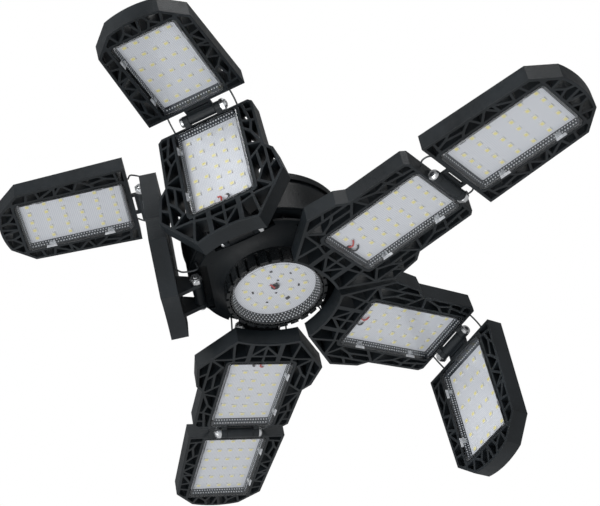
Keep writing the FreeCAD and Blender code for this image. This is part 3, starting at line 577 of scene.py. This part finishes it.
def clear_plastic(name, film_stops):
    """Clear plastic, drawn as a film: what its surface mirrors grows with the
    angle, and the rest of the light goes straight through."""
    material, tree, shader, place = new_finish(name)
    tint = [(0.3, (0.86, 0.89, 0.92)), (0.7, (0.94, 0.96, 0.98))]
    tree.links.new(shades(tree, grain(tree, place, 90.0), tint), shader.inputs["Base Color"])
    shader.inputs["Metallic"].default_value = 1.0
    mirrored = tree.nodes.new("ShaderNodeLayerWeight")
    mirrored.inputs["Blend"].default_value = 0.5
    tree.links.new(shades(tree, mirrored.outputs["Facing"], film_stops), shader.inputs["Alpha"])
    gloss = shades(tree, grain(tree, place, 500.0), [(0.3, 0.09), (0.7, 0.15)])
    tree.links.new(gloss, shader.inputs["Roughness"])
    return material


def skin_cap(ring):
    """The clear skin that fills a rim's last ring."""
    return ring, [tuple(range(len(ring)))], SKIN


def cover_ring(which, inset, level, corner, near=None, far=None):
    """Ring at an inset from a cover's outline; its ends may lie deeper."""
    start = COVER_START[which] + (near or inset)
    end = COVER_START[which] + COVER_LENGTH - (far or inset)
    outline = round_rectangle(start, -COVER_HALF + inset, end, COVER_HALF - inset, corner)
    return [(x, y, PANEL_FACE[which] + level) for x, y in outline]


def wall_corners(near, far, half, level):
    """The four corners of a sloping wall's upper or lower edge."""
    return [Vector((x, y, level))
            for x, y in ((near, -half), (far, -half), (far, half), (near, half))]


def prism(middle, along, down, out):
    """One four-sided prism on a wall: its middle, the wall's two directions
    and the way that it stands out."""
    base = [middle + along * a + down * b for a, b in ((-1, -1), (1, -1), (1, 1), (-1, 1))]
    return base + [middle + out], [(0, 1, 4), (1, 2, 4), (2, 3, 4), (3, 0, 4)], PRISM


def prism_rows(start, end, foot_start, foot_end, shares):
    """Rows of prisms on a sloping wall between its top and foot edges."""
    count = int((end - start).length / PRISM_PITCH)
    along = (end - start).normalized()
    slope = ((foot_start - start) + (foot_end - end)) / 2
    down = (slope - along * slope.dot(along)).normalized()
    out = along.cross(down)
    if out.z > 0:
        out = -out
    prisms = []
    for row, share in enumerate(shares):
        a = start.lerp(foot_start, share)
        b = end.lerp(foot_end, share)
        for place in range(count):
            middle = a.lerp(b, (place + 0.25 + 0.5 * row) / count)
            prisms.append(prism(middle, along * PRISM_REACH, down * PRISM_REACH, out * PRISM_HIGH))
    return prisms


def tab_plate(x, long, top, foot, slot):
    """A thin smooth plate along a side wall, between two (y, z) edges."""
    (y0, z0), (y1, z1) = top, foot
    rings = []
    for lift in (0.0, PLATE_THICKNESS):
        rings.append([(x - long / 2, y0, z0 - lift), (x + long / 2, y0, z0 - lift),
                      (x + long / 2 - PLATE_TAPER, y1, z1 - lift),
                      (x - long / 2 + PLATE_TAPER, y1, z1 - lift)])
    return loft(rings, slot, close_start=True, close_end=True)


def panel_cover(which):
    """A cover's rim, skin, sloping wall with its prisms, and tabs with their painted reflections.
    """
    face = PANEL_FACE[which]
    near, far = COVER_START[which], COVER_START[which] + COVER_LENGTH
    rim = [cover_ring(which, *station) for station in RIM_PROFILE]
    slope = [cover_ring(which, SLOPE_TOP, SKIN_LEVEL, SLOPE_TOP_CORNER),
             cover_ring(which, SLOPE_FOOT, FOOT_LEVEL, SLOPE_FOOT_CORNER, START_FOOT[which],
                        END_FOOT[which])]
    parts = [loft(rim, RIM), skin_cap(rim[-1]), loft(slope, SLOPE)]
    top = wall_corners(near + SLOPE_TOP, far - SLOPE_TOP, COVER_HALF - SLOPE_TOP, face + SKIN_LEVEL)
    foot = wall_corners(near + START_FOOT[which], far - END_FOOT[which], COVER_HALF - SLOPE_FOOT,
                        face + FOOT_LEVEL)
    for side in range(4):
        following = (side + 1) % 4
        shares = HINGE_SIDE_ROW if side == HINGE_SIDE else TWO_ROWS
        parts += prism_rows(top[side], top[following], foot[side], foot[following], shares)
    for tab_x in TAB_PLACES[which]:
        for side in (1, -1):
            for shift, long, slot, *edges in TAB_PLATES:
                upper, lower = [(side * (COVER_HALF - inset), face + level)
                                for inset, level in edges]
                parts.append(tab_plate(tab_x + shift, long, upper, lower, slot))
    return parts


clear = clear_plastic("clear_plastic", [(0.0, 0.05), (0.5, 0.11), (0.72, 0.28), (0.92, 0.75)])
clear_rim = clear_plastic("clear_rim", [(0.0, 0.06), (0.5, 0.13), (0.72, 0.3), (0.92, 0.85)])
# Painted light on the sloping walls: dark painted shade on the walls, white painted highlights on
# the prisms.
prism_shadow = fired_finish("prism_shadow", (0.012, 0.015, 0.02), (0.06, 0.07, 0.082),
                            0.4, 300.0, 0.25)
prism_highlight_white = fired_finish("prism_highlight_white", (0.62, 0.65, 0.69), (0.84, 0.87, 0.9), 0.15, 1300.0)
tab_white = fired_finish("tab_white", (0.5, 0.52, 0.56), (0.86, 0.88, 0.91), 0.15, 300.0)
# Painted reflection: a smooth patch, streaked light grey, on the sloping wall beside each tab.
tab_reflection_grey = fired_finish("tab_reflection_grey", (0.1, 0.115, 0.13), (0.7, 0.73, 0.77), 0.12, 480.0)
# Painted shade: the middle cover's sloping wall, near-black where the clear wall shows the dark
# ring behind.
round_wall_shade_black = fired_finish("round_wall_shade_black", (0.004, 0.005, 0.007), (0.03, 0.036, 0.044), 0.5, 260.0, 0.1)
COVER_FINISHES = [clear, clear_rim, prism_shadow, prism_highlight_white, tab_white, tab_reflection_grey, round_wall_shade_black]
for arm, which in PANELS:
    cover = new_piece("%s_%s_cover" % (arm, which), panel_cover(which), panel_frame(arm, which),
                      COVER_FINISHES)
    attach(cover, "%s_%s" % (arm, which))
    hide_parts("%s_%s_lens" % (arm, which))


# ---------------------------------------------------------------- vent ring
# The slotted ring round the middle lamp lets the hub's warm air out. It is
# moulded in a glossier black. Its slots are open to the hub's dark inside, and
# a thin, matte near-black sheet on the floor of each one is painted shade.
SLOT_COUNT = 27
SLOT_FLOOR = 33.55 * MM
SLOT_WIDE = 2.2 * MM
SLOT_LOW = -16.0 * MM
SLOT_HIGH = -5.9 * MM
SHADE_SHEET_THICKNESS = 0.12 * MM
ring_black = moulded_plastic("ring_black", (0.005, 0.006, 0.007), (0.009, 0.011, 0.0125), 0.27, 0.5)
dress("vent_ring", ring_black)
# Painted shade: a near-black matte sheet stands on each slot's floor and darkens it.
slot_shade_black = moulded_plastic("slot_shade_black", (0.001, 0.0012, 0.0014), (0.003, 0.0034, 0.004),
                              0.7, 0.02)
shade_sheet_outline = [(SLOT_FLOOR, -SLOT_WIDE / 2), (SLOT_FLOOR + SHADE_SHEET_THICKNESS, -SLOT_WIDE / 2),
                 (SLOT_FLOOR + SHADE_SHEET_THICKNESS, SLOT_WIDE / 2), (SLOT_FLOOR, SLOT_WIDE / 2)]
shade_sheet = slab(shade_sheet_outline, SLOT_LOW, SLOT_HIGH)
shade_sheets = [moved(shade_sheet, Matrix.Rotation(2 * math.pi * place / SLOT_COUNT, 4, "Z"))
          for place in range(SLOT_COUNT)]
slot_shade_sheets = new_piece("vent_slot_painted_shade", shade_sheets, HUB_FRAME, [slot_shade_black])
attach(slot_shade_sheets, "root")


# ---------------------------------------------------------------- middle board
# The round lamp's white board, with two rings of chips turned to the middle,
# small resin-cased parts between them, and a hole for the leads.
VENT_LOW = -16.2 * MM
ROUND_DEPTH = 8.7 * MM
ROUND_BOARD_RADIUS = 29.4 * MM
ROUND_BACK = VENT_LOW + ROUND_DEPTH
ROUND_FRONT = ROUND_BACK - BOARD_THICKNESS
CABLE_HOLE = 3.0 * MM
CHIP_RINGS = ((21.0 * MM, 16), (11.3 * MM, 8))
# Radius, degrees, length and width of each small part.
SMALL_PARTS = ((16.2 * MM, 14, 2.0 * MM, 1.2 * MM), (16.0 * MM, 66, 1.6 * MM, 0.8 * MM),
               (16.4 * MM, 118, 2.0 * MM, 1.2 * MM), (15.8 * MM, 171, 3.0 * MM, 2.2 * MM),
               (16.2 * MM, 226, 1.6 * MM, 0.8 * MM), (16.1 * MM, 283, 2.0 * MM, 1.2 * MM),
               (6.6 * MM, 40, 1.6 * MM, 0.8 * MM), (6.4 * MM, 200, 1.6 * MM, 0.8 * MM))
SMALL_PART_HIGH = 0.55 * MM
SMALL_PART_CORNER = 0.1 * MM
disc_rings = [circle_ring(radius, level) for radius, level in (
    (CABLE_HOLE, ROUND_BACK), (ROUND_BOARD_RADIUS, ROUND_BACK), (ROUND_BOARD_RADIUS, ROUND_FRONT),
    (CABLE_HOLE, ROUND_FRONT), (CABLE_HOLE, ROUND_BACK))]
middle_board = new_piece("middle_board", [loft(disc_rings, 0)], HUB_FRAME, [board_white])
give_uv(middle_board, HUB_FRAME)
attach(middle_board, "root")
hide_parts("round_board")

parts = []
for ring_radius, count in CHIP_RINGS:
    for place in range(count):
        turn = 2 * math.pi * place / count
        parts += chip(ring_radius * math.cos(turn), ring_radius * math.sin(turn), ROUND_FRONT, turn)
middle_chips = new_piece("middle_chips", parts, HUB_FRAME, CHIP_FINISHES)
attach(middle_chips, "root")
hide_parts("round_leds")

resin_black = fired_finish("resin_black", (0.02, 0.02, 0.022), (0.05, 0.05, 0.055), 0.4, 1200.0)
parts = []
for radius, degrees, long, wide in SMALL_PARTS:
    outline = round_rectangle(-wide / 2, -long / 2, wide / 2, long / 2, SMALL_PART_CORNER, 1)
    turned = Matrix.Rotation(math.radians(degrees), 4, "Z") @ Matrix.Translation((radius, 0, 0))
    parts.append(moved(slab(outline, ROUND_FRONT - SMALL_PART_HIGH, ROUND_FRONT), turned))
small_parts = new_piece("middle_small_parts", parts, HUB_FRAME, [resin_black])
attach(small_parts, "root")


# ---------------------------------------------------------------- middle cover
# The round lamp's clear moulded cover, which snaps into the vent ring. Its
# inner wall slopes to the board and carries four rings of small prisms; the
# wall is painted near-black as shade and the prisms white as painted highlights.
ROUND_RIM = (  # radius and level, from the foot by the board over to the skin
    (31.0 * MM, ROUND_BACK), (32.6 * MM, ROUND_BACK), (32.6 * MM, VENT_LOW + 0.9 * MM),
    (31.8 * MM, VENT_LOW + 0.1 * MM), (30.8 * MM, VENT_LOW), (29.6 * MM, VENT_LOW + 0.4 * MM))
ROUND_SLOPE_TOP = 30.6 * MM
ROUND_SLOPE_FOOT = 28.4 * MM
ROUND_TOP_LEVEL = VENT_LOW + 1.3 * MM
ROUND_SLOPE_END = ROUND_FRONT - 0.05 * MM
PRISM_RINGS = (0.14, 0.38, 0.62, 0.86)
ROUND_PITCH = 2.5 * MM
ROUND_REACH = 0.48 * MM
# How far the wall leans in and falls, as parts of one.
WALL_LEAN = 0.34
WALL_FALL = 0.94
round_rim = [circle_ring(radius, level) for radius, level in ROUND_RIM]
round_slope = [circle_ring(ROUND_SLOPE_TOP, ROUND_TOP_LEVEL),
               circle_ring(ROUND_SLOPE_FOOT, ROUND_SLOPE_END)]
parts = [loft(round_rim, RIM), skin_cap(round_rim[-1]), loft(round_slope, ROUND_SLOPE)]
prism_count = int(2 * math.pi * ROUND_SLOPE_FOOT / ROUND_PITCH)
for row, share in enumerate(PRISM_RINGS):
    radius = ROUND_SLOPE_TOP + (ROUND_SLOPE_FOOT - ROUND_SLOPE_TOP) * share
    level = ROUND_TOP_LEVEL + (ROUND_FRONT - ROUND_TOP_LEVEL) * share
    for place in range(prism_count):
        turn = 2 * math.pi * (place + 0.5 * (row % 2)) / prism_count
        spoke = Vector((math.cos(turn), math.sin(turn), 0))
        along = Vector((-math.sin(turn), math.cos(turn), 0))
        down = UP * WALL_FALL - spoke * WALL_LEAN
        out = -spoke * WALL_FALL - UP * WALL_LEAN
        parts.append(prism(spoke * radius + UP * level, along * ROUND_REACH, down * ROUND_REACH,
                           out * PRISM_HIGH))
round_cover = new_piece("middle_cover", parts, HUB_FRAME, COVER_FINISHES)
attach(round_cover, "root")
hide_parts("round_lens")


# ---------------------------------------------------------------- leads
# Thin grey insulated leads that carry the current across the hinges: two to
# each inner panel from under the hub's disc, and two that bow across each
# elbow.
LEAD_RADIUS = 0.6 * MM
HUB_LEAD_START = 50.0 * MM
HUB_LEAD_HALF = 20.0 * MM
HUB_LEAD_DROP = 6.0 * MM
HUB_LEAD_NEAR = Vector((-5.0 * MM, 0, 5.0 * MM))
DISC_LOW = 10.0 * MM
TRAY_BACK = -12.65 * MM
ELBOW_LEAD_HALF = 21.0 * MM
ELBOW_LEAD_BOW = 3.2 * MM
ELBOW_LEAD_RUN = Vector((3.6 * MM, 0, 0))
# Where the elbow's leads leave the inner panel and reach the outer one.
INNER_LEAVE = Vector((91.7 * MM, 0, -19.45 * MM))
OUTER_ARRIVE = Vector((7.5 * MM, 0, 7.49 * MM))


def smooth_route(points, steps=10):
    """Points of a smooth curve through the route's own points."""
    points = [points[0] * 2 - points[1]] + points + [points[-1] * 2 - points[-2]]
    route = []
    for i in range(1, len(points) - 2):
        a, b, c, d = points[i - 1:i + 3]
        for step in range(steps):
            t = step / steps
            route.append(0.5 * ((2 * b) + (c - a) * t + (2 * a - 5 * b + 4 * c - d) * t * t
                                + (3 * b - a - 3 * c + d) * t ** 3))
    return route + [points[-2]]


def tube(route, radius, sides=10, slot=0):
    """A round tube along a route, with its sections kept from twisting."""
    side = (route[1] - route[0]).orthogonal().normalized()
    turns = [2 * math.pi * k / sides for k in range(sides)]
    rings = []
    for i, point in enumerate(route):
        along = (route[min(i + 1, len(route) - 1)] - route[max(i - 1, 0)]).normalized()
        side = (side - along * side.dot(along)).normalized()
        other = along.cross(side)
        rings.append([point + side * (radius * math.cos(turn)) + other * (radius * math.sin(turn))
                      for turn in turns])
    return loft(rings, slot, close_start=True, close_end=True)


lead_grey = fired_finish("lead_grey", (0.035, 0.04, 0.045), (0.07, 0.078, 0.085), 0.28, 400.0)
for arm in ARMS:
    inner = panel_frame(arm, "inner")
    outer = panel_frame(arm, "outer")
    pin = Vector(hinges[arm + "_hub_hinge"]["axis"])
    hub_exit = pin.cross(UP) * HUB_LEAD_START + UP * (HINGE_LEVEL + DISC_LOW)
    tray_entry = Vector((COVER_START["inner"], 0, TRAY_BACK))
    hub_tubes, elbow_tubes = [], []
    for side in (1, -1):
        leave = hub_exit + pin * side * HUB_LEAD_HALF
        arrive = tray_entry + Vector((0, side * HUB_LEAD_HALF, 0))
        route = [leave, leave - UP * HUB_LEAD_DROP,
                 inner @ (arrive + HUB_LEAD_NEAR), inner @ arrive]
        hub_tubes.append(tube(smooth_route(route), LEAD_RADIUS))
        leave = INNER_LEAVE + Vector((0, side * ELBOW_LEAD_HALF, 0))
        arrive = OUTER_ARRIVE + Vector((0, side * ELBOW_LEAD_HALF, 0))
        bow = Vector((0, side * ELBOW_LEAD_BOW, 0))
        route = [inner @ leave, inner @ (leave + ELBOW_LEAD_RUN + bow),
                 outer @ (arrive - ELBOW_LEAD_RUN + bow), outer @ arrive]
        elbow_tubes.append(tube(smooth_route(route), LEAD_RADIUS))
    hub_leads = new_piece(arm + "_leads_at_hub", hub_tubes, SEAT_FRAME, [lead_grey], flat=False)
    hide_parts(arm + "_hub_leads")
    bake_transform(hub_leads)
    elbow_leads = new_piece(arm + "_leads_at_elbow", elbow_tubes, SEAT_FRAME, [lead_grey],
                            flat=False)
    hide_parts(arm + "_elbow_leads")
    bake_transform(elbow_leads)


# ---------------------------------------------------------------- soldered ends
# Inside the lamps, a short red and a short black end of insulated lead come
# through a hole in the board and are soldered to its pads by hand.
FINE_LEAD = 0.62 * MM
LEAD_HOLE = 1.9 * MM
LEAD_HOLE_PLACE = 13.2 * MM
HOLE_PROUD = 0.03 * MM
HOLE_SUNK = 0.02 * MM
HOLE_RIM = 0.1 * MM
SOLDER_RADIUS = 1.15 * MM
# Share of the solder's radius, and height over the board.
SOLDER_DOME = ((1.0, 0.0), (0.9, 0.25 * MM), (0.5, 0.5 * MM))
MIDDLE_SCALE = 0.62
HOLE, RED, BLACK, SOLDER = range(4)
# Each end's route from the hole's middle, in millimetres, its height last.
LEAD_ENDS = (
    (BLACK, ((0.2, 0.9, 0.0), (-0.2, 2.8, 1.4), (1.8, 4.6, 1.7), (4.2, 4.2, 1.2),
             (5.4, 2.8, 0.2))),
    (RED, ((0.3, -0.6, 0.0), (1.2, -1.2, 1.5), (3.4, -0.8, 1.8), (5.4, -2.2, 1.2),
           (6.4, -3.6, 0.2))),
)


def solder_dome(x, y, front):
    """A low dome of solder on a pad."""
    foot = circle_ring(SOLDER_RADIUS, front, 14)
    rings = [[(x + share * px, y + share * py, level - height) for px, py, level in foot]
             for share, height in SOLDER_DOME]
    return loft(rings, SOLDER, close_end=True)


def soldered_ends(front, hole_radius, hole_x, scale=1.0):
    """The red and the black end of a lamp's leads, from the hole in the board."""
    hole = [(hole_x + x, y) for x, y, _ in circle_ring(hole_radius, 0.0, 24)]
    parts = [slab(hole, front - HOLE_PROUD, front + HOLE_SUNK, HOLE)]
    for slot, points in LEAD_ENDS:
        route = [Vector((hole_x + x * scale * MM, y * scale * MM, front - z * MM))
                 for x, y, z in points]
        parts.append(tube(smooth_route(route, 6), FINE_LEAD, 8, slot))
        parts.append(solder_dome(route[-1].x, route[-1].y, front))
    return parts


lead_red = fired_finish("lead_red", (0.45, 0.04, 0.035), (0.62, 0.08, 0.07), 0.35, 600.0)
lead_black = fired_finish("lead_black", (0.015, 0.015, 0.017), (0.035, 0.035, 0.04), 0.35, 600.0)
END_FINISHES = [lead_black, lead_red, lead_black, solder]
panel_ends = soldered_ends(PANEL_FACE["inner"] + BOARD_FRONT, LEAD_HOLE, LEAD_HOLE_PLACE)
for arm in ARMS:
    ends = new_piece(arm + "_soldered_ends", panel_ends, panel_frame(arm, "inner"), END_FINISHES)
    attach(ends, arm + "_inner")
middle_ends = new_piece("middle_soldered_ends",
                        soldered_ends(ROUND_FRONT, CABLE_HOLE + HOLE_RIM, 0.0, MIDDLE_SCALE),
                        HUB_FRAME, END_FINISHES)
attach(middle_ends, "root")


# ---------------------------------------------------------------- studio
# A pale floor well below the hanging light, a white sky, three soft lamps
# round it, and the camera below the light, looking up at it.
FLOOR_LEVEL = -1.7
FLOOR_REACH = 30.0
SKY_STRENGTH = 0.5
# How bright the sky looks to each kind of ray, the last one that fits.
SKY_LEVELS = (("Is Glossy Ray", 0.22), ("Is Camera Ray", 1.0), ("Is Transmission Ray", 1.0))
# Spot from the hub, side and power.
LAMPS = (
    ("left", (1.3, -0.9, 0.15), 0.9, 14.0),
    ("above", (0.5, 0.6, 1.3), 0.8, 9.0),
    ("below", (0.55, -0.45, -1.1), 1.0, 6.0),
)
CAMERA_SPOT = Vector((0.7398, 0.20839, -0.74054))
CAMERA_AHEAD = Vector((-0.723013, -0.181221, 0.666642))
CAMERA_RIGHT = Vector((-0.398115, 0.89793, -0.187684))
CAMERA_LENS = 88.418
CAMERA_SENSOR = 36.0

floor_pale, floor_tree, floor_shader, floor_place = new_finish("floor_pale")
floor_colour = shades(floor_tree, grain(floor_tree, floor_place, 3.0),
                      [(0.3, (0.83, 0.83, 0.83)), (0.7, (0.85, 0.85, 0.85))])
floor_tree.links.new(floor_colour, floor_shader.inputs["Base Color"])
floor_shader.inputs["Roughness"].default_value = 0.8
floor_corners = [(x * FLOOR_REACH, y * FLOOR_REACH, FLOOR_LEVEL)
                 for x, y in ((-1, -1), (1, -1), (1, 1), (-1, 1))]
floor_mesh = bpy.data.meshes.new("floor")
floor_mesh.from_pydata(floor_corners, [], [(0, 1, 2, 3)])
floor_mesh.materials.append(floor_pale)
floor = bpy.data.objects.new("floor", floor_mesh)
bpy.context.scene.collection.objects.link(floor)

world = bpy.data.worlds.new("studio")
bpy.context.scene.world = world
world.use_nodes = True
sky = world.node_tree
background = sky.nodes["Background"]
background.inputs["Color"].default_value = (1.0, 1.0, 1.0, 1.0)
paths = sky.nodes.new("ShaderNodeLightPath")
strength = None
for ray, ray_level in SKY_LEVELS:
    choose = sky.nodes.new("ShaderNodeMix")
    choose.data_type = "FLOAT"
    sky.links.new(paths.outputs[ray], choose.inputs["Factor"])
    choose.inputs["A"].default_value = SKY_STRENGTH
    choose.inputs["B"].default_value = ray_level
    if strength is not None:
        sky.links.new(strength, choose.inputs["A"])
    strength = choose.outputs["Result"]
sky.links.new(strength, background.inputs["Strength"])

for name, spot, side, power in LAMPS:
    lamp_data = bpy.data.lights.new(name, "AREA")
    lamp_data.size = side
    lamp_data.energy = power
    lamp = bpy.data.objects.new(name, lamp_data)
    lamp.location = HUB_FRAME @ Vector(spot)
    lamp.rotation_euler = (-Vector(spot)).to_track_quat("-Z", "Y").to_euler()
    bpy.context.scene.collection.objects.link(lamp)

camera_data = bpy.data.cameras.new("camera")
camera_data.sensor_width = CAMERA_SENSOR
camera_data.lens = CAMERA_LENS
camera = bpy.data.objects.new("camera", camera_data)
camera_axes = Matrix((CAMERA_RIGHT, CAMERA_RIGHT.cross(CAMERA_AHEAD), -CAMERA_AHEAD)).transposed()
camera.matrix_world = Matrix.Translation(CAMERA_SPOT) @ camera_axes.to_4x4()
bpy.context.scene.collection.objects.link(camera)
bpy.context.scene.camera = camera
bpy.context.scene.view_settings.view_transform = "Standard"
